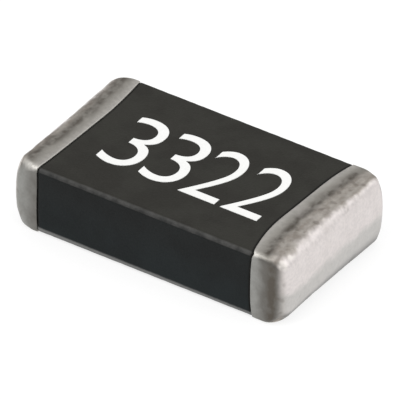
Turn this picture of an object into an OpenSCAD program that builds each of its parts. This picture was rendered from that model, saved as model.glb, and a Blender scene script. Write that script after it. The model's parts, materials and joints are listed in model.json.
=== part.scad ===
// Thick-film chip resistor for surface mounting.
// Length along X, width along Y, height along Z. The origin is under the middle, on the board.

/* [Chip] */
// Length over both end caps
chip_l = 2.10; // [1.90:0.01:2.30]
// Width over the caps
chip_w = 1.18; // [1.10:0.01:1.40]
// Height over the caps
chip_h = 0.51; // [0.45:0.01:0.65]
// Radius along the four long edges
edge_r = 0.030; // [0.020:0.001:0.040]

/* [End caps] */
// Length of the left cap's band, measured at the chip's corners
left_band = 0.195; // [0.180:0.005:0.300]
// Length of the right cap's band, measured at the chip's corners
right_band = 0.245; // [0.180:0.005:0.300]
// How far the left rim bows inwards across the top and bottom
left_bow = 0.034; // [0.010:0.002:0.080]
// How far the right rim bows inwards across the top and bottom
right_bow = 0.056; // [0.010:0.002:0.080]
// How far both rims bow inwards on the long sides
side_bow = 0.015; // [0.005:0.001:0.030]
// Radius of the left end's upright corners
left_upright_r = 0.070; // [0.030:0.005:0.120]
// Radius of the left end's top edge
left_top_r = 0.110; // [0.030:0.005:0.130]
// Radius of the left end's bottom edge
left_bottom_r = 0.110; // [0.030:0.005:0.130]
// Radius of the right end's upright corners
right_upright_r = 0.045; // [0.030:0.005:0.120]
// Radius of the right end's top edge
right_top_r = 0.060; // [0.030:0.005:0.130]
// Radius of the right end's bottom edge
right_bottom_r = 0.110; // [0.030:0.005:0.130]

/* [End layers] */
// Thickness of the tin plating
tin_t = 0.012; // [0.008:0.001:0.016]
// Thickness of the nickel barrier
nickel_t = 0.008; // [0.005:0.001:0.012]
// Thickness of the dipped silver on the bands
silver_t = 0.020; // [0.012:0.001:0.024]
// Thickness of the dipped silver on the end faces
silver_end_t = 0.060; // [0.050:0.005:0.080]

/* [Printed layers] */
// Thickness of the printed electrodes
electrode_t = 0.012; // [0.008:0.001:0.016]
// Width of the printed electrodes
electrode_w = 1.00; // [0.85:0.01:1.05]
// Length of the top electrodes, from the end of the ceramic
top_electrode_l = 0.360; // [0.300:0.005:0.450]
// Length of the bottom electrodes, from the end of the ceramic
bottom_electrode_l = 0.280; // [0.200:0.005:0.350]
// Thickness of the resistive film above the electrodes
film_t = 0.008; // [0.005:0.001:0.010]
// Width of the resistive film
film_w = 0.800; // [0.600:0.010:0.840]
// How far the film lies over each electrode
film_lap = 0.080; // [0.050:0.005:0.100]
// Thickness of the glass over the film
glass_t = 0.008; // [0.005:0.001:0.010]

/* [Laser trim] */
// Width of the cut
kerf = 0.030; // [0.020:0.002:0.050]
// Where the cut enters the film, along the chip
cut_x = -0.180; // [-0.300:0.010:0.000]
// How far the cut runs in across the film
cut_in = 0.340; // [0.200:0.010:0.450]
// How far the cut then runs along the film
cut_along = 0.260; // [0.100:0.010:0.320]

/* [Coat] */
// How far the coat lies below the face of the tin
coat_drop = 0.004; // [0.002:0.001:0.008]

/* [Hidden] */

// Side of the chip along X
left = -1;
right = 1;

// Smoothness of the round edges
round_fn = 96;
// Straight steps in each half of a bowed rim, and how late it turns back towards the end
rim_n = 8;
rim_power = 3;
// Smallest edge radius left on an inner layer
least_r = 0.002;
// Overshoot of a cut beyond the faces that it trims
clear = 0.1;

// The ceramic lies inside the plating, the dipped silver and the printed electrodes
plating_t = tin_t + nickel_t;
ceramic_l = chip_l - 2 * (plating_t + silver_end_t);
ceramic_w = chip_w - 2 * (plating_t + silver_t);
ceramic_z0 = plating_t + silver_t + electrode_t;
ceramic_z1 = chip_h - ceramic_z0;

// Levels of the printed layers on top of the ceramic
electrode_z = ceramic_z1 + electrode_t;
film_z = electrode_z + film_t;
glass_z = film_z + glass_t;

// The film bridges the gap between the top electrodes
film_gap = ceramic_l - 2 * top_electrode_l;
film_l = film_gap + 2 * film_lap;

function band(side) = side == left ? left_band : right_band;

function bow(side) = side == left ? left_bow : right_bow;

function upright_r(side) = side == left ? left_upright_r : right_upright_r;

function top_r(side) = side == left ? left_top_r : right_top_r;

function bottom_r(side) = side == left ? left_bottom_r : right_bottom_r;

// Radius that an outer radius has on a layer lying at a depth under it
function inset(r, under) = max(r - under, least_r);

// Block centred on the chip, from one level to another
module slab(l, w, z0, z1) {
    translate([-l / 2, -w / 2, z0]) cube([l, w, z1 - z0]);
}

// Turns what is drawn for the right end to the given side
module turned(side) {
    mirror([side == left ? 1 : 0, 0, 0]) children();
}

// Bar with rounded long edges, as wide and as high as the chip less a depth under its faces
module bar(under) {
    r = inset(edge_r, under);
    w = chip_w - 2 * under;
    h = chip_h - 2 * under;
    translate([0, 0, chip_h / 2])
        rotate([90, 0, 90])
            linear_extrude(chip_l + clear, center = true) {
                square([w - 2 * r, h], center = true);
                square([w, h - 2 * r], center = true);
                for (y = [-1, 1], z = [-1, 1])
                    translate([y * (w / 2 - r), z * (h / 2 - r)]) circle(r, $fn = round_fn);
            }
}

// Outline from the middle of the chip to one end, with its two far corners rounded
module round_end(end, low, high, low_r, high_r) {
    translate([0, low]) square([end - low_r, high - high_r - low]);
    translate([0, low + low_r]) square([end - high_r, high - low - low_r]);
    translate([0, low + low_r]) square([end, high - high_r - low - low_r]);
    translate([end - low_r, low + low_r]) circle(low_r, $fn = round_fn);
    translate([end - high_r, high - high_r]) circle(high_r, $fn = round_fn);
}

// One end seen from above, which rounds its upright corners
module end_plan(side, under) {
    half = chip_w / 2 - under;
    r = inset(upright_r(side), under);
    turned(side)
        translate([0, 0, -clear])
            linear_extrude(chip_h + 2 * clear)
                round_end(chip_l / 2 - under, -half, half, r, r);
}

// One end seen from the side, which rounds its top and bottom edges
module end_profile(side, under) {
    low_r = inset(bottom_r(side), under);
    high_r = inset(top_r(side), under);
    turned(side)
        rotate([90, 0, 0])
            linear_extrude(chip_w + 2 * clear, center = true)
                round_end(chip_l / 2 - under, under, chip_h - under, low_r, high_r);
}

// Outline of the space beyond a rim that bows inwards over a half span
module rim_outline(edge_x, half, depth) {
    far_x = chip_l / 2 + clear;
    polygon([
        [far_x, -half - clear],
        [edge_x, -half - clear],
        for (i = [-rim_n:rim_n])
            let (t = i / rim_n)
                [edge_x - depth * (1 - pow(abs(t), rim_power)), half * t],
        [edge_x, half + clear],
        [far_x, half + clear]
    ]);
}

// Space beyond a rim: its inner wall is the crescent that the cap shows on all four long faces
module rim_space(side, under) {
    edge_x = chip_l / 2 - band(side) + under;
    turned(side)
        translate([0, 0, chip_h / 2]) {
            linear_extrude(chip_h + 2 * clear, center = true)
                rim_outline(edge_x, chip_w / 2, bow(side));
            rotate([90, 0, 0])
                linear_extrude(chip_w + 2 * clear, center = true)
                    rim_outline(edge_x, chip_h / 2, side_bow);
        }
}

// Everything that a cap's layer wraps, out to a depth under the face of the tin
module end_fill(side, under) {
    intersection() {
        bar(under);
        end_plan(side, under);
        end_profile(side, under);
        rim_space(side, under);
    }
}

// What the end layers are laid on
module core() {
    ceramic_substrate();
    for (side = [left, right]) {
        top_electrode(side);
        bottom_electrode(side);
    }
}

// One layer of an end, from one depth to another
module end_layer(side, under, depth) {
    difference() {
        end_fill(side, under);
        end_fill(side, under + depth);
        core();
    }
}

module ceramic_substrate() {
    color([0.90, 0.89, 0.86]) slab(ceramic_l, ceramic_w, ceramic_z0, ceramic_z1);
}

// Printed pad that starts flush with the end of the ceramic
module electrode(side, l, z0) {
    color([0.80, 0.79, 0.77])
        translate([side * (ceramic_l - l) / 2, 0, 0])
            slab(l, electrode_w, z0, z0 + electrode_t);
}

module top_electrode(side) {
    electrode(side, top_electrode_l, ceramic_z1);
}

module bottom_electrode(side) {
    electrode(side, bottom_electrode_l, ceramic_z0 - electrode_t);
}

// L-shaped path of the laser, through the film and the glass
module trim_cut() {
    depth = glass_z - ceramic_z1 + 2 * clear;
    translate([cut_x, -film_w / 2, ceramic_z1 - clear]) {
        translate([0, -clear, 0]) cube([kerf, clear + cut_in, depth]);
        translate([0, cut_in - kerf, 0]) cube([kerf + cut_along, kerf, depth]);
    }
}

// The film lies on the ceramic between the electrodes and laps over their ends
module resistive_film() {
    color([0.10, 0.09, 0.09])
        difference() {
            union() {
                slab(film_gap, film_w, ceramic_z1, film_z);
                slab(film_l, film_w, electrode_z, film_z);
            }
            trim_cut();
        }
}

module glass_coat() {
    color([0.35, 0.42, 0.36])
        difference() {
            slab(film_l, film_w, film_z, glass_z);
            trim_cut();
        }
}

// The coat sheathes the body between the rims and fills the laser's cut
module protective_coat() {
    color([0.19, 0.19, 0.18])
        difference() {
            bar(coat_drop);
            rim_space(left, 0);
            rim_space(right, 0);
            core();
            resistive_film();
            glass_coat();
        }
}

module silver_terminal(side) {
    color([0.82, 0.81, 0.79])
        difference() {
            end_fill(side, plating_t);
            core();
        }
}

module nickel_barrier(side) {
    color([0.70, 0.67, 0.60]) end_layer(side, tin_t, nickel_t);
}

module tin_cap(side) {
    color([0.66, 0.64, 0.62]) end_layer(side, 0, tin_t);
}

ceramic_substrate();
top_electrode(left);  // left_top_electrode
top_electrode(right);  // right_top_electrode
bottom_electrode(left);  // left_bottom_electrode
bottom_electrode(right);  // right_bottom_electrode
resistive_film();
glass_coat();
protective_coat();
silver_terminal(left);  // left_silver_terminal
silver_terminal(right);  // right_silver_terminal
nickel_barrier(left);  // left_nickel_barrier
nickel_barrier(right);  // right_nickel_barrier
tin_cap(left);  // left_tin_cap
tin_cap(right);  // right_tin_cap
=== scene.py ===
"""Looks of a surface-mount chip resistor: plated end caps, a dark coat and the value printed on it.

Lengths are in millimetres, and become metres where a mesh, a texture or the camera is made.
"""

import json
import math

import bpy
import numpy as np
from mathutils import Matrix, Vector, noise

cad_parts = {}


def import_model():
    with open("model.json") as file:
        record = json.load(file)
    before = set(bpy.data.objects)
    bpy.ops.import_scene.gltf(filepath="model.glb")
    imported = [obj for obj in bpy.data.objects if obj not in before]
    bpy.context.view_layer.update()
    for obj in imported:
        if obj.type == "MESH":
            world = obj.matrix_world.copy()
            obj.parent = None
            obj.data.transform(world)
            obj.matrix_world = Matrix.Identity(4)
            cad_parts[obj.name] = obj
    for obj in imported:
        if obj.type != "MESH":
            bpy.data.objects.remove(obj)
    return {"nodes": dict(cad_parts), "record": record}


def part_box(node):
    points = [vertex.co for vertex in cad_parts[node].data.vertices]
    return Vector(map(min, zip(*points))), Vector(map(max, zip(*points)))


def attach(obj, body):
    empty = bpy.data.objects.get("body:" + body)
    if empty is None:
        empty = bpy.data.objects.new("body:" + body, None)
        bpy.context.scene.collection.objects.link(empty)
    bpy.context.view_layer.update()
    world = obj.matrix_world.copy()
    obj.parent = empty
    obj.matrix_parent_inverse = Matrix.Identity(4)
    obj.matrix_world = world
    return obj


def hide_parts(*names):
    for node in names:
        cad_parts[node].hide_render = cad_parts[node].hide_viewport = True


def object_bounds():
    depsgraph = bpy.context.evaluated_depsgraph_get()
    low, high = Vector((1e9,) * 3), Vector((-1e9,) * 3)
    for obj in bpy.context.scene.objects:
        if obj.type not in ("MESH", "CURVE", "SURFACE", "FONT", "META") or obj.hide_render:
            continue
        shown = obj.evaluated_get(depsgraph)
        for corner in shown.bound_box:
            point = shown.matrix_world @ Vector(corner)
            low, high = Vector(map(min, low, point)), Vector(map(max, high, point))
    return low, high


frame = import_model()
cad_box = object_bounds()

MM = 0.001
BODY = "root"
LEFT, RIGHT = -1, 1


def node_box(name):
    """Lowest and highest corner of a CAD node, in millimetres."""
    low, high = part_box(name)
    return np.array(low) / MM, np.array(high) / MM


# Sizes taken from the frame
chip_high = np.array(cad_box[1]) / MM
coat_low, coat_high = node_box("protective_coat")
ceramic_low, ceramic_high = node_box("ceramic_substrate")
glass_high = node_box("glass_coat")[1]
END_X = chip_high[0]
HALF_W = chip_high[1]
HEIGHT = chip_high[2]
NICKEL_UNDER = END_X - node_box("right_nickel_barrier")[1][0]
SILVER_UNDER = END_X - node_box("right_silver_terminal")[1][0]

# The core that the end layers are laid on: Y and Z of its lowest and highest corner
CORE_LOW = np.array([ceramic_low[1], node_box("left_bottom_electrode")[0][2]])
CORE_HIGH = np.array([ceramic_high[1], node_box("left_top_electrode")[1][2]])

# The caps' crescent rims: how late they turn back towards the end, depth of the bow on the sides,
# place at the chip's corners, and depth of the bow across the top and bottom
RIM_POWER = 3
SIDE_BOW = {LEFT: 0.0, RIGHT: 0.016}
RIM_CORNER = {LEFT: coat_low[0], RIGHT: coat_high[0]}
RIM_BOW = {
    LEFT: node_box("left_tin_cap")[1][0] - coat_low[0],
    RIGHT: coat_high[0] - node_box("right_tin_cap")[0][0],
}
# How the rims wander: depth, waves to the millimetre and seed
RIM_WAVE = {LEFT: (0.010, 3.0, 196.0), RIGHT: (0.018, 2.0, 59.0)}

# Radii along X, Y and Z of each end's corners: front bottom, front top, back bottom, back top
CORNER_R = {
    LEFT: [
        (0.093, 0.057, 0.235), (0.067, 0.104, 0.197),
        (0.110, 0.070, 0.150), (0.104, 0.088, 0.082),
    ],
    RIGHT: [
        (0.138, 0.094, 0.135), (0.110, 0.085, 0.100),
        (0.082, 0.074, 0.245), (0.072, 0.069, 0.197),
    ],
}
# Radii along the long edges of the caps and of the coat: at the top front, the top back and below
CAP_EDGE_R = (0.050, 0.022, 0.022)
COAT_EDGE_R = (0.034, 0.021, 0.028)
# Length over which the caps' edge radii grow to those of the corners
EASE_L = 0.17
# The round lip at a layer's rim: its radius, and the rings of points over it
LIP_R = 0.006
LIP_N = 5

# The groove in which the coat meets a rim: depth, width and rings of points, and the rings between
# both grooves
GROOVE_D = 0.007
GROOVE_W = 0.016
GROOVE_N = 7
COAT_N = 90
# How far the coat's painted edge highlight lies towards its sides, and how strong it is at the back
EDGE_LOW = 0.6
BACK_HIGHLIGHT = 0.3

# Streak of the tin beyond its pale band, a painted dark reflection where the surface starts to turn:
# distance from the rim on the top and on the sides, strength on the sides, half width, how much it
# fades over the long edges, and how it
# wanders: how far, with how many waves to the millimetre, and the seed
STREAK_AT = {LEFT: (0.112, 0.100), RIGHT: (0.098, 0.152)}
STREAK_SIDE = {LEFT: 0.0, RIGHT: 1.5}
STREAK_W = {LEFT: 0.042, RIGHT: 0.034}
STREAK_FADE = 0.7
STREAK_WANDER = 0.014
STREAK_PITCH = 6.0
STREAK_SEED = 2.0
# Length from the rim over which the sides' painted shade turns pale on the left end and dark on the
# right one, and how pale its dark part is
FLANK_L = {LEFT: 0.15, RIGHT: 0.113}
FLANK_PALE = {LEFT: 0.12, RIGHT: 0.0}
# Length from the rim over which the long top edges carry a painted highlight, and how strongly the
# end's top corners carry painted highlights
HIGHLIGHT_L = {LEFT: 0.26, RIGHT: 0.11}
TIP_HIGHLIGHT = 5.2
# How far a surface has to turn towards the end before it takes the end face's colour, and how much
# further it has to on the sides
END_START = {LEFT: 0.14, RIGHT: 0.0}
END_LATE = 0.15
# How dark the painted shade of the end is where it turns to the back, next to where it turns under
BACK_SHADE = 0.6

# Dents, pits and chipped edges: their depth, how many there are to the millimetre, and their seed
# where it isn't 0
DENT_D = 0.003
DENT_PITCH = 8.0
PIT_D = 0.003
PIT_PITCH = 16.0
PIT_SEED = 4.0
CHIP_D = 0.0015
CHIP_PITCH = 22.0
CHIP_SEED = 7.0
# How deep dents and pits are in the band by the rim, next to those beyond it, and how far below 0
# the chips' noise still cuts into an edge
BAND_ROUGH = 0.35
CHIP_REACH = 0.2

# The printed value: height, width and pitch of the digits, its middle, how much a stroke loses on
# both sides, and how far the ink reaches above and below the face of the coat
CODE = "3322"
DIGIT_H = 0.555
DIGIT_W = 0.280
DIGIT_PITCH = 0.324
CODE_MID = (0.004, -0.005)
STROKE_LOSS = 0.0075
INK_T = 0.003
# Steps of a digit's outline that are shorter than this, in the font's own units, are left out
SHORTEST_STEP = 0.009

# Colours, as pairs where a noise or a mask runs from one to the other
COAT_TOP = ((0.0220, 0.0208, 0.0172), (0.0278, 0.0270, 0.0224))
# The sides' darker, bluer tone is painted shade, painted lighter and bluer towards the bottom
COAT_SIDE_SHADE = ((0.009, 0.013, 0.014), (0.008, 0.0095, 0.0095))
# Pale line painted as a highlight along the coat's edges
COAT_EDGE_HIGHLIGHT = (0.076, 0.075, 0.072)
# Painted shade in the grooves where the coat meets the rims
COAT_GROOVE_SHADE = (0.006, 0.006, 0.005)
# Pale strip along the bottom edge of the sides, a painted reflection of the floor
COAT_LOWER_REFLECTION = (0.29, 0.29, 0.285)
# The band's paler tone by the rim is a painted sheen
TIN_BAND = ((0.38, 0.362, 0.33), (0.48, 0.46, 0.43))
TIN_OUTER = ((0.33, 0.295, 0.26), (0.49, 0.455, 0.415))
# The sides' darker tone is painted shade
TIN_FLANK_SHADE = ((0.165, 0.157, 0.143), (0.33, 0.328, 0.31))
# Dark streak painted as a reflection where the tin starts to turn
TIN_DARK_REFLECTION = (0.112, 0.098, 0.082)
# Painted highlight along the tin's long top edges
TIN_EDGE_HIGHLIGHT = (0.68, 0.66, 0.62)
# The end faces are painted paler than the bands as painted light where they face the lamps, and greyer
# below
TIN_END_LOWER = ((0.54, 0.525, 0.505), (0.62, 0.60, 0.58))
TIN_END_UPPER = ((0.68, 0.634, 0.618), (0.80, 0.750, 0.734))
# Painted shade where the end turns under and to the back
TIN_TURNED_SHADE = (0.22, 0.215, 0.205)
# Painted highlights: flecks along the end's top edge and on its top corners
TIN_GLINT = (0.78, 0.74, 0.70)
TIN_STAIN = (0.15, 0.13, 0.11)
INK_WHITE = ((0.86, 0.86, 0.845), (0.94, 0.94, 0.925))
FLOOR_GREY = ((0.29, 0.29, 0.29), (0.31, 0.31, 0.31))
WHITE = (1.0, 1.0, 1.0)
# Light and dark tone, grains to the millimetre, roughness and metallic share of the inner layers
INNER_LOOKS = {
    "ceramic": ((0.86, 0.85, 0.82), (0.74, 0.73, 0.70), 45.0, 0.60, 0.0),
    "electrode": ((0.80, 0.79, 0.77), (0.62, 0.61, 0.59), 60.0, 0.45, 0.9),
    "resistive_film": ((0.11, 0.10, 0.10), (0.06, 0.05, 0.05), 50.0, 0.50, 0.0),
    "glass_coat": ((0.36, 0.43, 0.37), (0.27, 0.34, 0.29), 30.0, 0.20, 0.0),
    "silver": ((0.84, 0.83, 0.81), (0.68, 0.67, 0.65), 40.0, 0.50, 0.9),
    "nickel": ((0.70, 0.67, 0.60), (0.55, 0.52, 0.46), 55.0, 0.35, 1.0),
}
# How far the roughness of an inner layer varies, and depth of the grain of all layers and of the ink
ROUGH_SWING = 0.08
GRAIN_D = 0.001
INK_GRAIN_D = 0.0006

# Where colours change: distance from the rim at which the groove's painted shade ends, length over
# which a painted sheen makes the tin palest, heights at which the coat's pale strip of painted
# reflection ends and at which the end faces turn pale
GROOVE_SHADE_SPAN = (0.008, 0.022)
RIM_PALE_L = 0.06
STRIP_Z = (0.036, 0.055)
END_PALE_Z = (0.27, 0.34)
# How these heights wave, and how the strip's height falls along the chip
STRIP_WAVE = 0.006
STRIP_FALL = 0.005
END_PALE_WAVE = 0.12

# The camera of the photograph: its angles in degrees, lens and sensor, the picture's width and
# scale, and the place in it of the chip's middle
AZIMUTH = 34.09
ELEVATION = 35.57
LENS_MM = 1400.0
SENSOR_MM = 36.0
IMAGE_PX = 400
PX_PER_MM = 156.65
CENTRE_PX = (198.93, 199.53)

# Studio light: the lamps' directions, strengths and widths in degrees, the world's levels, and the
# floor's half width, height and glow
KEY_DIRECTION = Vector((0.80, 0.10, 0.60)).normalized()
LAMPS = {
    "key": (KEY_DIRECTION, 0.5, 60.0),
    "edge": (Vector((-0.46, -0.58, 0.67)).normalized(), 0.7, 45.0),
    "back": (Vector((0.56, 0.67, 0.44)).normalized(), 0.12, 40.0),
}
SKY_LOW = 0.35
SKY_HIGH = 0.90
KEY_GLOW = 0.25
FLOOR_HALF = 40.0
FLOOR_Z = -0.002
FLOOR_GLOW = 0.76


def smoothstep(t):
    t = np.clip(t, 0.0, 1.0)
    return t * t * (3.0 - 2.0 * t)


def noise_at(points, pitch, seed=0.0):
    """Smooth noise from about -1 to 1 at each point, with pitch waves to the millimetre."""
    shift = Vector((seed, 2.0 * seed, -seed))
    return np.array([noise.noise(Vector(p) * pitch + shift) for p in points])


def spread(low, high, count):
    """Values from low to high that lie closer together near both ends."""
    t = np.linspace(0.0, 1.0, count)
    eased = (1.0 - np.cos(np.pi * t)) / 2.0
    return low + (high - low) * (t + eased) / 2.0


# Form of the ends

class Lattice:
    """Points (y, z) of the chip's section: a loop round it, and the points inside that loop."""

    def __init__(self, across, up, along):
        ys = spread(-HALF_W, HALF_W, across)
        zs = spread(0.0, HEIGHT, up)
        top = [(y, HEIGHT) for y in ys[:-1]]
        back = [(HALF_W, z) for z in zs[:0:-1]]
        bottom = [(y, 0.0) for y in ys[:0:-1]]
        front = [(-HALF_W, z) for z in zs[:-1]]
        self.across = across
        self.up = up
        self.loop = np.array(top + back + bottom + front)
        self.inside = np.array([(y, z) for y in ys[1:-1] for z in zs[1:-1]])
        self.shares = np.linspace(0.0, 1.0, along)

    def ring_faces(self, first, second):
        """Quads between two loops of points that start at these indices."""
        count = len(self.loop)
        turn = [(i, (i + 1) % count) for i in range(count)]
        return [(first + i, second + i, second + j, first + j) for i, j in turn]

    def end_faces(self, loop, inside):
        """Quads that fill a loop of points with those inside it."""
        across, up = self.across - 1, self.up - 1

        def index(a, b):
            if b == up:
                return loop + a
            if a == across:
                return loop + across + up - b
            if b == 0:
                return loop + 2 * across + up - a
            if a == 0:
                return loop + 2 * across + up + b
            return inside + (a - 1) * (up - 1) + b - 1

        def quad(a, b):
            return index(a, b), index(a + 1, b), index(a + 1, b + 1), index(a, b + 1)

        return [quad(a, b) for a in range(across) for b in range(up)]


FINE = Lattice(across=140, up=64, along=44)
COARSE = Lattice(across=60, up=30, along=20)


def bowed(depth, share):
    """Depth of a bow at a share of its half span."""
    return depth * (1.0 - np.abs(share) ** RIM_POWER)


def rim_x(side, loop):
    """Place of a cap's rim along X at each point of the section loop."""
    across = bowed(RIM_BOW[side], loop[:, 0] / HALF_W)
    up = bowed(SIDE_BOW[side], 2.0 * loop[:, 1] / HEIGHT - 1.0)
    flat = np.column_stack([np.full(len(loop), side), loop])
    depth, pitch, seed = RIM_WAVE[side]
    wave = depth * noise_at(flat, pitch, seed)
    return RIM_CORNER[side] - side * (np.maximum(across, up) + wave)


def rounded(points, low, high, radii):
    """Points of a box's faces, moved onto the box with its edges rounded, and the normals there."""
    inner = np.clip(points, low + radii, high - radii)
    unit = (points - inner) / radii
    unit /= np.linalg.norm(unit, axis=1, keepdims=True)
    normal = unit / radii
    normal /= np.linalg.norm(normal, axis=1, keepdims=True)
    return inner + radii * unit, normal


def edge_radii(section, radii):
    """Radius of the long edges by each point of the section."""
    front_top, back_top, below = radii
    at_top = np.where(section[:, 0] < 0.0, front_top, back_top)
    return np.where(section[:, 1] > HEIGHT / 2.0, at_top, below)[:, None]


def corner_radii(side, points):
    """Radii of an end at each point: slim along the band, growing to those of the end's corners."""
    back = smoothstep((points[:, 1] + HALF_W) / (2.0 * HALF_W))[:, None]
    top = smoothstep(points[:, 2] / HEIGHT)[:, None]
    front_low, front_high, back_low, back_high = (np.array(r) for r in CORNER_R[side])
    front = front_low * (1.0 - top) + front_high * top
    rear = back_low * (1.0 - top) + back_high * top
    radii = front * (1.0 - back) + rear * back
    grown = smoothstep((np.abs(points[:, 0]) - END_X + EASE_L) / EASE_L)[:, None]
    radii[:, 1:] = edge_radii(points[:, 1:], CAP_EDGE_R) * (1.0 - grown) + radii[:, 1:] * grown
    return radii


def skin(side, x, section, depth):
    """Points of an end's form at a depth under its face, with their normals."""
    points = np.column_stack([np.broadcast_to(x, len(section)), section])
    far = 2.0 * END_X
    low = np.array([-END_X - far * (side == RIGHT), -HALF_W, 0.0])
    high = np.array([END_X + far * (side == LEFT), HALF_W, HEIGHT])
    face, normal = rounded(points, low, high, corner_radii(side, points))
    return face - normal * depth, normal


def scaled(section, low, high):
    """Points of the chip's section, scaled to the box from one corner to the other."""
    share = (section - [-HALF_W, 0.0]) / [2.0 * HALF_W, HEIGHT]
    return low + share * (high - low)


def on_core(x, section):
    """Points of the core's square section, which have no normals."""
    points = np.column_stack([np.broadcast_to(x, len(section)), scaled(section, CORE_LOW, CORE_HIGH)])
    return points, np.zeros(points.shape)


def edge_share(normals):
    """How far each point lies round a long edge: 0 on the faces and 1 midway between them."""
    return 2.0 * np.abs(normals[:, 1] * normals[:, 2])


# Meshes

def mesh_object(name, points, faces, masks):
    """Smooth mesh object in metres, with a float attribute for each mask."""
    mesh = bpy.data.meshes.new(name)
    mesh.from_pydata((np.asarray(points) * MM).tolist(), [], faces)
    for label, values in masks.items():
        layer = mesh.attributes.new(label, "FLOAT", "POINT")
        layer.data.foreach_set("value", np.asarray(values, np.float32))
    mesh.shade_smooth()
    piece = bpy.data.objects.new(name, mesh)
    bpy.context.scene.collection.objects.link(piece)
    return piece


def inner_blocks(side, lattice, rim, over, under):
    """Blocks of points of a layer's inside, from its end face to its rim."""
    outer_rim = rim + side * over
    if under is None:
        core_end = side * ceramic_high[0]
        blocks = [on_core(core_end, lattice.inside), on_core(core_end, lattice.loop)]
        return blocks + [on_core(outer_rim, lattice.loop)]
    inner_rim = rim + side * under
    blocks = [skin(side, side * END_X, lattice.inside, under)]
    for share in lattice.shares[::-1]:
        blocks.append(skin(side, inner_rim + share * (side * END_X - inner_rim), lattice.loop, under))
    return blocks + [on_core(inner_rim, lattice.loop), on_core(outer_rim, lattice.loop)]


def outer_blocks(side, lattice, rim, over):
    """Blocks of points of a layer's outside, from its lip at the rim to its end face."""
    outer_rim = rim + side * over
    blocks = []
    for turn in np.linspace(0.0, np.pi / 2.0, LIP_N):
        x = outer_rim + side * LIP_R * (1.0 - np.cos(turn))
        blocks.append(skin(side, x, lattice.loop, over + LIP_R * (1.0 - np.sin(turn))))
    start = outer_rim + side * LIP_R
    for share in lattice.shares[1:]:
        blocks.append(skin(side, start + share * (side * END_X - start), lattice.loop, over))
    return blocks + [skin(side, side * END_X, lattice.inside, over)]


def cup_faces(lattice, loops):
    """Faces of a closed cup whose points are an end face, a number of loops and another end face."""
    first, count = len(lattice.inside), len(lattice.loop)
    starts = [first + k * count for k in range(loops)]
    faces = [face[::-1] for face in lattice.end_faces(first, 0)]
    for here, there in zip(starts, starts[1:]):
        faces += lattice.ring_faces(here, there)
    return faces + lattice.end_faces(starts[-1], starts[-1] + count)


def tin_masks(side, points, normals):
    """Masks of the tin at each point, by its distance from the rim and the way that it faces."""
    on_side = normals[:, 1] ** 2
    bend = edge_share(normals)
    above = np.clip(normals[:, 2], 0.0, 1.0)
    width = STREAK_W[side]
    top_at, side_at = STREAK_AT[side]
    rim = RIM_CORNER[side] - side * bowed(RIM_BOW[side], points[:, 1] / HALF_W)
    from_rim = side * (points[:, 0] - rim)
    wander = STREAK_WANDER * noise_at(points, STREAK_PITCH, STREAK_SEED)
    # Where the painted dark reflection lies, and how strong it is
    beyond = from_rim + wander - (top_at + (side_at - top_at) * on_side)
    strength = (1.0 + (STREAK_SIDE[side] - 1.0) * on_side) * (1.0 - STREAK_FADE * bend)
    outwards = smoothstep(from_rim / FLANK_L[side])
    pale = outwards if side == LEFT else 1.0 - outwards
    return {
        "from_rim": from_rim,
        "beyond": smoothstep(beyond / width),
        "streak": strength * np.exp(-(beyond / width) ** 2),
        "pale": FLANK_PALE[side] + (1.0 - FLANK_PALE[side]) * pale,
        "side": np.abs(normals[:, 1]),
        "up": normals[:, 2],
        # Painted highlight along the top edges, and on the end's top corners
        "edge_highlight": bend * (above > 0.0) * (1.0 - smoothstep(from_rim / HIGHLIGHT_L[side])),
        "tip": TIP_HIGHLIGHT * np.abs(normals[:, 0] * normals[:, 1]) * above,
        "end": side * normals[:, 0] - END_START[side] - END_LATE * np.abs(normals[:, 1]),
        # Where the end turns under and back, for painted shade
        "turned": np.maximum(BACK_SHADE * normals[:, 1], -normals[:, 2]),
    }


def dented(points, normals, rough):
    """Points of the tin's face, sunk into dents and pits."""
    dents = DENT_D * smoothstep(noise_at(points, DENT_PITCH))
    pits = PIT_D * smoothstep(noise_at(points, PIT_PITCH, PIT_SEED))
    return points - normals * (rough * (dents + pits))[:, None]


def end_layer(name, side, over, under, lattice):
    """One layer of an end as a closed cup, from one depth to another, or to the core without one."""
    rim = rim_x(side, lattice.loop)
    blocks = inner_blocks(side, lattice, rim, over, under)
    outside = sum(len(points) for points, _ in blocks)
    blocks += outer_blocks(side, lattice, rim, over)
    points = np.concatenate([block[0] for block in blocks])
    normals = np.concatenate([block[1] for block in blocks])
    faces = cup_faces(lattice, len(blocks) - 2)
    if side == LEFT:
        faces = [face[::-1] for face in faces]
    masks = tin_masks(side, points, normals)
    if over == 0.0:
        rough = BAND_ROUGH + (1.0 - BAND_ROUGH) * masks["beyond"][outside:]
        points[outside:] = dented(points[outside:], normals[outside:], rough)
    return mesh_object(name, points, faces, masks)


def coat_stations(left, right):
    """Places along X of the coat's rings of points, from the left rim to the right one."""
    near = np.linspace(0.0, GROOVE_W, GROOVE_N)[:-1]
    stations = [left + d for d in near]
    for share in np.linspace(0.0, 1.0, COAT_N):
        stations.append(left + GROOVE_W + share * (right - left - 2.0 * GROOVE_W))
    return stations + [right - d for d in near[::-1]]


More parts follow.
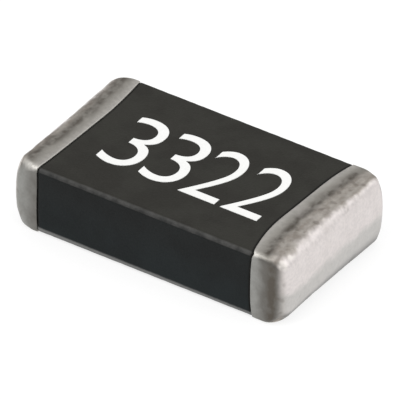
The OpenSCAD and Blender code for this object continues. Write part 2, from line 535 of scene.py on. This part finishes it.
def coat_ring(x, left, right):
    """One ring of points on the face of the coat, with its masks."""
    low = np.array([-END_X, *coat_low[1:]])
    high = np.array([END_X, *coat_high[1:]])
    radii = np.repeat(edge_radii(FINE.loop, COAT_EDGE_R), 3, axis=1)
    box_points = np.column_stack([x, scaled(FINE.loop, coat_low[1:], coat_high[1:])])
    face, normal = rounded(box_points, low, high, radii)
    bend = edge_share(normal)
    lower = 1.0 + EDGE_LOW * (np.abs(normal[:, 1]) - normal[:, 2])
    # Painted highlight along the long edges, weaker at the back
    edge_highlight = bend * lower * np.where(normal[:, 1] > 0.0, BACK_HIGHLIGHT, 1.0)
    from_rim = np.minimum(x - left, right - x)
    groove = GROOVE_D * (1.0 - smoothstep(from_rim / GROOVE_W))
    chipped = np.clip(noise_at(face, CHIP_PITCH, CHIP_SEED) + CHIP_REACH, 0.0, 1.0)
    points = face - normal * (groove + CHIP_D * bend * chipped)[:, None]
    return points, {"edge": edge_highlight, "up": normal[:, 2], "rim_gap": from_rim}


def protective_coat():
    """The coat as a sleeve: its face with a groove at both rims, and a plain inner tube."""
    loop = FINE.loop
    left, right = rim_x(LEFT, loop), rim_x(RIGHT, loop)
    rings = [coat_ring(x, left, right) for x in coat_stations(left, right)]
    tube = scaled(loop, CORE_LOW, np.array([ceramic_high[1], glass_high[2]]))
    unmasked = {label: np.zeros(len(loop)) for label in rings[0][1]}
    rings += [(np.column_stack([x, tube]), unmasked) for x in (right, left)]
    faces = []
    for k in range(len(rings)):
        faces += FINE.ring_faces(k * len(loop), (k + 1) % len(rings) * len(loop))
    points = np.concatenate([ring for ring, _ in rings])
    masks = {label: np.concatenate([values[label] for _, values in rings]) for label in unmasked}
    return mesh_object("coat_sleeve", points, faces, masks)


def digit_outline(digit):
    """Outline of a digit without holes: one loop of points that runs anticlockwise."""
    text = bpy.data.curves.new("digit", "FONT")
    text.body = digit
    text.fill_mode = "NONE"
    holder = bpy.data.objects.new("digit", text)
    bpy.context.scene.collection.objects.link(holder)
    shaped = holder.evaluated_get(bpy.context.evaluated_depsgraph_get())
    mesh = bpy.data.meshes.new_from_object(shaped)
    loop = np.array([v.co[:2] for v in mesh.vertices])
    bpy.data.objects.remove(holder)
    following = np.roll(loop, -1, axis=0)
    if np.sum(loop[:, 0] * following[:, 1] - loop[:, 1] * following[:, 0]) < 0.0:
        loop = loop[::-1]
    step = np.linalg.norm(np.roll(loop, -1, axis=0) - loop, axis=1)
    return loop[step > SHORTEST_STEP]


def fitted(loop):
    """A loop of points that fills the digit's box, round the origin."""
    low, high = loop.min(0), loop.max(0)
    return (loop - (low + high) / 2.0) / (high - low) * [DIGIT_W, DIGIT_H]


def thinned(loop, depth):
    """An anticlockwise loop of points moved inwards by a depth."""
    ahead = np.roll(loop, -1, axis=0) - loop
    ahead /= np.linalg.norm(ahead, axis=1, keepdims=True)
    inwards = np.column_stack([-ahead[:, 1], ahead[:, 0]])
    before = np.roll(inwards, 1, axis=0)
    spread_out = 1.0 + (inwards * before).sum(axis=1, keepdims=True)
    return loop + depth * (inwards + before) / spread_out


def printed_value():
    """The value code as thin ink that stands a little above the coat."""
    points, faces = [], []
    start = 0
    for k, digit in enumerate(CODE):
        loop = fitted(thinned(fitted(digit_outline(digit)), STROKE_LOSS))
        loop += [CODE_MID[0] + (k - (len(CODE) - 1) / 2.0) * DIGIT_PITCH, CODE_MID[1]]
        count = len(loop)
        for level in (coat_high[2] + INK_T, coat_high[2] - INK_T):
            points.append(np.column_stack([loop, np.full(count, level)]))
        above = list(range(start, start + count))
        below = [i + count for i in above]
        faces += [tuple(above), tuple(below[::-1])]
        faces += [(above[i], above[i - 1], below[i - 1], below[i]) for i in range(count)]
        start += 2 * count
    piece = mesh_object("printed_value", np.concatenate(points), faces, {})
    piece.data.shade_flat()
    return piece


# Materials

class Nodes:
    """Short forms for building one material's node tree."""

    # Sockets of a Mix node's two colours and of the colour that comes out
    MIX_FIRST, MIX_SECOND, MIX_OUT = 6, 7, 2

    def __init__(self, name):
        self.material = bpy.data.materials.new(name)
        self.material.use_nodes = True
        self.tree = self.material.node_tree
        self.shader = self.tree.nodes["Principled BSDF"]
        self.place = self.millimetres()

    def add(self, kind, **settings):
        node = self.tree.nodes.new(kind)
        for key, value in settings.items():
            setattr(node, key, value)
        return node

    def link(self, source, target):
        self.tree.links.new(source, target)

    def feed(self, socket, value):
        """Sets a socket to a number or a colour, or links it to another socket."""
        if isinstance(value, (int, float)):
            socket.default_value = value
        elif isinstance(value, tuple):
            socket.default_value = (*value, 1.0)
        else:
            self.link(value, socket)

    def millimetres(self):
        """The place in the chip's own frame, in millimetres."""
        coordinate = self.add("ShaderNodeTexCoord")
        scale = self.add("ShaderNodeVectorMath", operation="SCALE")
        scale.inputs["Scale"].default_value = 1.0 / MM
        self.link(coordinate.outputs["Object"], scale.inputs[0])
        return scale.outputs["Vector"]

    def noise(self, pitch, detail=3.0, drawn=1.0):
        """Noise with pitch waves to the millimetre, which may be drawn out round the chip."""
        stretch = self.add("ShaderNodeVectorMath", operation="MULTIPLY")
        stretch.inputs[1].default_value = (pitch, pitch / drawn, pitch / drawn)
        self.link(self.place, stretch.inputs[0])
        node = self.add("ShaderNodeTexNoise")
        node.inputs["Scale"].default_value = 1.0
        node.inputs["Detail"].default_value = detail
        self.link(stretch.outputs["Vector"], node.inputs["Vector"])
        return node.outputs["Fac"]

    def mask(self, label):
        return self.add("ShaderNodeAttribute", attribute_name=label).outputs["Fac"]

    def axis(self, letter):
        node = self.add("ShaderNodeSeparateXYZ")
        self.link(self.place, node.inputs["Vector"])
        return node.outputs[letter]

    def math(self, operation, first, second):
        node = self.add("ShaderNodeMath", operation=operation)
        self.feed(node.inputs[0], first)
        self.feed(node.inputs[1], second)
        return node.outputs["Value"]

    def ramp(self, value, low, high, to_low=0.0, to_high=1.0):
        node = self.add("ShaderNodeMapRange", interpolation_type="SMOOTHSTEP")
        ends = {"From Min": low, "From Max": high, "To Min": to_low, "To Max": to_high}
        for label, number in ends.items():
            node.inputs[label].default_value = number
        self.link(value, node.inputs["Value"])
        return node.outputs["Result"]

    def mix(self, factor, first, second):
        node = self.add("ShaderNodeMix", data_type="RGBA")
        self.link(factor, node.inputs["Factor"])
        self.feed(node.inputs[self.MIX_FIRST], first)
        self.feed(node.inputs[self.MIX_SECOND], second)
        return node.outputs[self.MIX_OUT]

    def shade(self, colour, level):
        """A colour made lighter or darker by a level round 1."""
        node = self.add("ShaderNodeMix", data_type="RGBA", blend_type="MULTIPLY")
        node.inputs["Factor"].default_value = 1.0
        self.link(colour, node.inputs[self.MIX_FIRST])
        self.link(level, node.inputs[self.MIX_SECOND])
        return node.outputs[self.MIX_OUT]

    def bump(self, height, depth):
        node = self.add("ShaderNodeBump")
        node.inputs["Distance"].default_value = depth * MM
        self.link(height, node.inputs["Height"])
        self.link(node.outputs["Normal"], self.shader.inputs["Normal"])

    def set(self, **values):
        for label, value in values.items():
            self.feed(self.shader.inputs[label.replace("_", " ")], value)


def grainy(name, light, dark, pitch, roughness, metallic):
    """A material of two tones in a fine grain, for layers that lie under others."""
    n = Nodes(name)
    grain = n.noise(pitch)
    rough = n.ramp(grain, 0.3, 0.7, roughness - ROUGH_SWING, roughness + ROUGH_SWING)
    n.set(Base_Color=n.mix(grain, dark, light), Roughness=rough, Metallic=metallic)
    n.bump(grain, GRAIN_D)
    return n.material


def coat_material():
    """Satin charcoal on top, with blue-black sides that are painted shade; a painted highlight runs
    pale along its edges, painted shade darkens the grooves at the rims and a painted pale reflection
    runs along the bottom edge.
    """
    n = Nodes("coat")
    cloud = n.ramp(n.noise(5.0), 0.35, 0.65)
    grain = n.noise(80.0)
    top = n.mix(cloud, *COAT_TOP)
    # Painted shade: the sides darker than the top, and lighter and bluer towards the bottom
    side = n.mix(n.ramp(n.axis("Z"), 0.10, 0.45), *COAT_SIDE_SHADE)
    side = n.shade(side, n.ramp(n.noise(4.0, 4.0), 0.35, 0.65, 0.78, 1.22))
    colour = n.mix(n.ramp(n.mask("up"), 0.55, 0.95), side, top)
    # Painted highlight along the edges, broken up by noise
    speckle = n.ramp(n.noise(14.0, 4.0), 0.32, 0.66, 0.40, 1.0)
    edge_glint = n.math("MULTIPLY", n.ramp(n.mask("edge"), 0.20, 0.85), speckle)
    colour = n.mix(edge_glint, colour, COAT_EDGE_HIGHLIGHT)
    # Painted shade in the groove at each rim
    colour = n.mix(n.ramp(n.mask("rim_gap"), *GROOVE_SHADE_SPAN, 1.0, 0.0), colour, COAT_GROOVE_SHADE)
    # Painted reflection: a pale strip along the bottom edge of the sides
    height = n.math("ADD", n.axis("Z"), n.math("MULTIPLY", n.noise(25.0), STRIP_WAVE))
    height = n.math("ADD", height, n.math("MULTIPLY", n.axis("X"), STRIP_FALL))
    lower_reflection = n.math("MULTIPLY", n.ramp(height, *STRIP_Z, 1.0, 0.0), n.ramp(n.mask("up"), -0.97, -0.80))
    colour = n.mix(lower_reflection, colour, COAT_LOWER_REFLECTION)
    n.set(Base_Color=colour, Roughness=n.ramp(grain, 0.25, 0.75, 0.40, 0.56), Specular_IOR_Level=0.15)
    n.bump(grain, GRAIN_D)
    return n.material


def tin_bands(n, blotch):
    """Colour of the tin round the chip: pale at the rim with a painted sheen, then a dark streak of
    painted reflection, then a brownish mottle; the sides are darkened with painted shade and the top
    edges carry a painted highlight.
    """
    # Painted sheen: paler by the rim
    at_rim = n.ramp(n.mask("from_rim"), 0.0, RIM_PALE_L, 1.0, 0.0)
    band = n.mix(at_rim, *TIN_BAND)
    outer = n.mix(n.ramp(blotch, 0.32, 0.68), *TIN_OUTER)
    colour = n.mix(n.mask("beyond"), band, outer)
    smear = n.noise(15.0, 3.0, 1.3)
    pale = n.math("ADD", n.mask("pale"), n.ramp(smear, 0.30, 0.70, -0.16, 0.16))
    # Painted shade: the sides darker than the top
    flank = n.mix(pale, *TIN_FLANK_SHADE)
    colour = n.mix(n.ramp(n.mask("side"), 0.6, 0.95), colour, flank)
    # Painted dark reflection along the streak
    dark = n.math("MULTIPLY", n.mask("streak"), n.ramp(smear, 0.36, 0.64, 1.0, 0.42))
    colour = n.mix(dark, colour, TIN_DARK_REFLECTION)
    # Painted highlight along the long top edges by the rim
    edge_highlight = n.math("MULTIPLY", n.ramp(n.mask("edge_highlight"), 0.25, 0.90), n.ramp(blotch, 0.30, 0.65, 0.25, 1.0))
    return n.mix(edge_highlight, colour, TIN_EDGE_HIGHLIGHT)


def tin_end(n, blotch):
    """Colour of an end face: pale as painted light, greyer below, and dark with painted shade where it
    turns under and back.
    """
    height = n.math("ADD", n.axis("Z"), n.math("MULTIPLY", n.noise(6.0, 2.0), END_PALE_WAVE))
    upper = n.mix(blotch, *TIN_END_UPPER)
    lower = n.mix(blotch, *TIN_END_LOWER)
    colour = n.mix(n.ramp(height, *END_PALE_Z), lower, upper)
    # Painted shade where the end turns under and back
    return n.mix(n.ramp(n.mask("turned"), 0.12, 0.50), colour, TIN_TURNED_SHADE)


def tin_material():
    """Dull mottled tin, with an uneven top edge to the end face, painted highlights as flecks there and
    on the end's top corners, and a fine grit.
    """
    n = Nodes("tin")
    blotch = n.noise(19.0, 4.0, 1.6)
    fleck = n.noise(7.0, 3.0)
    grain = n.noise(48.0)
    uneven = n.math("MULTIPLY", n.ramp(n.mask("up"), 0.1, 0.5), n.ramp(fleck, 0.30, 0.70, -0.24, 0.24))
    end = n.math("ADD", n.mask("end"), uneven)
    # The end faces take their paler colour of painted light
    colour = n.mix(n.ramp(end, 0.09, 0.83), tin_bands(n, blotch), tin_end(n, blotch))
    # Painted highlights along the end's top edge and on its top corners
    ridge = n.math("MULTIPLY", n.ramp(end, 0.20, 0.55), n.ramp(end, 0.70, 0.98, 1.0, 0.0))
    ridge = n.math("MULTIPLY", ridge, n.ramp(n.mask("up"), 0.0, 0.3))
    painted_glint = n.math("MULTIPLY", ridge, n.ramp(n.noise(14.0, 1.0), 0.56, 0.74))
    painted_glint = n.math("MAXIMUM", painted_glint, n.ramp(n.mask("tip"), 0.45, 0.95, 0.0, 0.8))
    colour = n.mix(painted_glint, colour, TIN_GLINT)
    dark = n.math("MULTIPLY", n.mask("beyond"), n.ramp(n.noise(16.0, 1.0), 0.28, 0.44, 0.45, 0.0))
    dark = n.math("MULTIPLY", dark, n.ramp(end, 0.50, 0.80, 1.0, 0.0))
    colour = n.mix(dark, colour, TIN_STAIN)
    colour = n.shade(colour, n.ramp(grain, 0.25, 0.75, 0.92, 1.07))
    n.set(Base_Color=colour, Roughness=n.ramp(grain, 0.3, 0.7, 0.36, 0.50), Metallic=0.8)
    n.bump(grain, GRAIN_D)
    return n.material


def ink_material():
    """White marking ink with a faint unevenness."""
    n = Nodes("ink")
    grain = n.noise(60.0)
    colour = n.mix(grain, *INK_WHITE)
    n.set(Base_Color=colour, Roughness=n.ramp(grain, 0.3, 0.7, 0.45, 0.6))
    n.bump(grain, INK_GRAIN_D)
    return n.material


def dress(piece, material):
    piece.data.materials.clear()
    piece.data.materials.append(material)


# Stage

def floor():
    """White floor that keeps the shadow, and looks white to the camera and in reflections."""
    signs = [(-1, -1), (1, -1), (1, 1), (-1, 1)]
    corners = [(x * FLOOR_HALF, y * FLOOR_HALF, FLOOR_Z) for x, y in signs]
    piece = mesh_object("floor", corners, [(0, 1, 2, 3)], {})
    n = Nodes("floor")
    rays = n.add("ShaderNodeLightPath")
    seen = n.math("ADD", rays.outputs["Is Camera Ray"], rays.outputs["Is Glossy Ray"])
    seen = n.math("ADD", seen, rays.outputs["Is Transmission Ray"])
    n.set(Base_Color=n.mix(n.noise(0.4), *FLOOR_GREY), Roughness=0.9, Specular_IOR_Level=0.0)
    n.set(Emission_Color=WHITE, Emission_Strength=n.math("MULTIPLY", seen, FLOOR_GLOW))
    dress(piece, n.material)


def facing(tree, direction, low, high):
    """World light that rises from low, sideways to a direction, to high towards it."""
    coordinate = tree.nodes.new("ShaderNodeTexCoord")
    share = tree.nodes.new("ShaderNodeVectorMath")
    share.operation = "DOT_PRODUCT"
    share.inputs[1].default_value = direction
    tree.links.new(coordinate.outputs["Generated"], share.inputs[0])
    level = tree.nodes.new("ShaderNodeMapRange")
    level.inputs["To Min"].default_value = low
    level.inputs["To Max"].default_value = high
    tree.links.new(share.outputs["Value"], level.inputs["Value"])
    return level.outputs["Result"]


def world():
    """Soft light from above, a little brighter towards the key light."""
    studio = bpy.data.worlds.new("studio")
    studio.use_nodes = True
    tree = studio.node_tree
    total = tree.nodes.new("ShaderNodeMath")
    tree.links.new(facing(tree, (0.0, 0.0, 1.0), SKY_LOW, SKY_HIGH), total.inputs[0])
    tree.links.new(facing(tree, KEY_DIRECTION, 0.0, KEY_GLOW), total.inputs[1])
    back = tree.nodes["Background"]
    back.inputs["Color"].default_value = (*WHITE, 1.0)
    tree.links.new(total.outputs["Value"], back.inputs["Strength"])
    bpy.context.scene.world = studio


def lamps():
    """Broad soft light from the right, and lights that catch the front and the end's top edges."""
    for name, (direction, strength, width) in LAMPS.items():
        lamp = bpy.data.lights.new(name, "SUN")
        lamp.energy = strength
        lamp.angle = math.radians(width)
        holder = bpy.data.objects.new(name, lamp)
        holder.rotation_mode = "QUATERNION"
        holder.rotation_quaternion = (-direction).to_track_quat("-Z", "Y")
        bpy.context.scene.collection.objects.link(holder)


def camera():
    """Long lens at the photograph's angle, aimed so that the chip lies where it does there."""
    turn, rise = math.radians(AZIMUTH), math.radians(ELEVATION)
    back = Vector((math.sin(turn) * math.cos(rise), -math.cos(turn) * math.cos(rise), math.sin(rise)))
    right = Vector((math.cos(turn), math.sin(turn), 0.0))
    up = back.cross(right)
    aim = Vector((0.0, 0.0, HEIGHT / 2.0))
    aim += right * ((IMAGE_PX / 2.0 - CENTRE_PX[0]) / PX_PER_MM)
    aim -= up * ((IMAGE_PX / 2.0 - CENTRE_PX[1]) / PX_PER_MM)
    distance = IMAGE_PX / SENSOR_MM * LENS_MM / PX_PER_MM
    lens = bpy.data.cameras.new("camera")
    lens.lens = LENS_MM
    lens.sensor_width = SENSOR_MM
    lens.clip_start = MM
    lens.clip_end = 2.0 * distance * MM
    holder = bpy.data.objects.new("camera", lens)
    holder.location = (aim + back * distance) * MM
    holder.rotation_mode = "QUATERNION"
    holder.rotation_quaternion = (-back).to_track_quat("-Z", "Y")
    bpy.context.scene.collection.objects.link(holder)
    bpy.context.scene.camera = holder


def place(piece, material, node=None):
    """Finishes a piece: its material, the body it rides on and the node it stands for."""
    dress(piece, material)
    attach(piece, BODY)
    if node:
        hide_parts(node)


# Making the pieces

layers = {slot: grainy(slot, *look) for slot, look in INNER_LOOKS.items()}
layers["tin"] = tin_material()
layers["coat"] = coat_material()
for row in frame["record"]["subparts"]:
    dress(frame["nodes"][row["node"]], layers[row["material_slot"]])

for word, side in (("left", LEFT), ("right", RIGHT)):
    silver = end_layer(word + "_silver_dip", side, SILVER_UNDER, None, COARSE)
    place(silver, layers["silver"], word + "_silver_terminal")
    nickel = end_layer(word + "_nickel_plating", side, NICKEL_UNDER, SILVER_UNDER, COARSE)
    place(nickel, layers["nickel"], word + "_nickel_barrier")
    tin = end_layer(word + "_tin_plating", side, 0.0, NICKEL_UNDER, FINE)
    place(tin, layers["tin"], word + "_tin_cap")

place(protective_coat(), layers["coat"], "protective_coat")
place(printed_value(), ink_material())

floor()
world()
lamps()
camera()
bpy.context.scene.view_settings.view_transform = "Standard"
